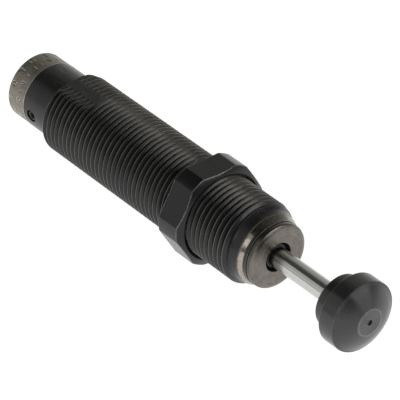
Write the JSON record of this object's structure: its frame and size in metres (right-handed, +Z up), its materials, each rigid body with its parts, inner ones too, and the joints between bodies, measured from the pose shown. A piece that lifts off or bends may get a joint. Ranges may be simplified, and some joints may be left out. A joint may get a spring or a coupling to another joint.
{
  "type": "industrial shock absorber",
  "caption": "Adjustable hydraulic shock absorber with a threaded cylindrical body, hexagonal lock nut, rear adjuster knob, chromed rod and domed impact button.",
  "frame": {"origin": "on the shock absorber's axis, in the plane of the lock nut's front (clamping) face", "axes": "+X along the axis from the adjuster knob to the impact button; +Z up, square to one pair of the nut's flats; +Y to the left when looking along +X; the lock screw points 5.5 degrees below -Y and the wrench flats lie square to it"},
  "size_m": [0.1174, 0.0246, 0.023],
  "materials": {
    "black_oxide_steel": "black oxide, satin, lightly oiled, with a cut thread",
    "button_steel": "black satin, fine turned finish",
    "knob_steel": "matt warm grey, engraved scale",
    "cap_steel": "satin turned steel, warm grey",
    "hard_chrome": "hard chrome, ground and polished",
    "machined_steel": "bright machined",
    "spring_steel": "drawn spring wire",
    "bronze": "bearing bronze, machined",
    "screw_black": "black oxide, satin",
    "nitrile_rubber": "matt black",
    "seal_rubber": "matt green seal compound",
    "ptfe": "off-white, waxy",
    "foam": "closed-cell foam, matt"
  },
  "bodies": {
    "housing": {"outer_body": "black_oxide_steel", "pressure_tube": "machined_steel", "return_spring": "spring_steel", "bearing_housing": "machined_steel", "rod_bearing": "bronze", "housing_o_ring": "nitrile_rubber", "accumulator_foam": "foam", "rod_seal": "seal_rubber", "seal_washer": "ptfe", "front_cap": "cap_steel", "wiper_ring": "nitrile_rubber"},
    "nut": {"lock_nut": "black_oxide_steel"},
    "adjuster": {"adjuster_knob": "knob_steel", "adjuster_shaft": "machined_steel", "adjuster_o_ring": "nitrile_rubber", "metering_sleeve": "bronze"},
    "screw": {"lock_screw": "screw_black"},
    "rod": {"piston_rod": "hard_chrome", "piston": "machined_steel", "piston_ring": "ptfe", "spring_seat": "machined_steel", "piston_nut": "machined_steel", "impact_button": "button_steel"},
    "check_valve": {"check_disc": "machined_steel"}
  },
  "joints": [
    {"name": "rod_stroke", "type": "slide", "parent": "housing", "child": "rod", "axis": [-1, 0, 0], "range_m": [0, 0.019], "stiffness_N_per_m": 300, "springref_m": -0.016, "deforming": ["return_spring"]},
    {"name": "check_disc_lift", "type": "slide", "parent": "rod", "child": "check_valve", "axis": [-1, 0, 0], "range_m": [0, 0.00045]},
    {"name": "adjuster_turn", "type": "hinge", "parent": "housing", "child": "adjuster", "pos_m": [-0.06545, 0, 0], "axis": [1, 0, 0], "range_deg": [-150, 120]},
    {"name": "lock_nut_travel", "type": "slide", "parent": "housing", "child": "nut", "axis": [1, 0, 0], "range_m": [-0.045, 0.012]},
    {"name": "lock_screw_travel", "type": "slide", "parent": "housing", "child": "screw", "axis": [0, -0.9954, -0.0958], "range_m": [0, 0.0015]}
  ]
}
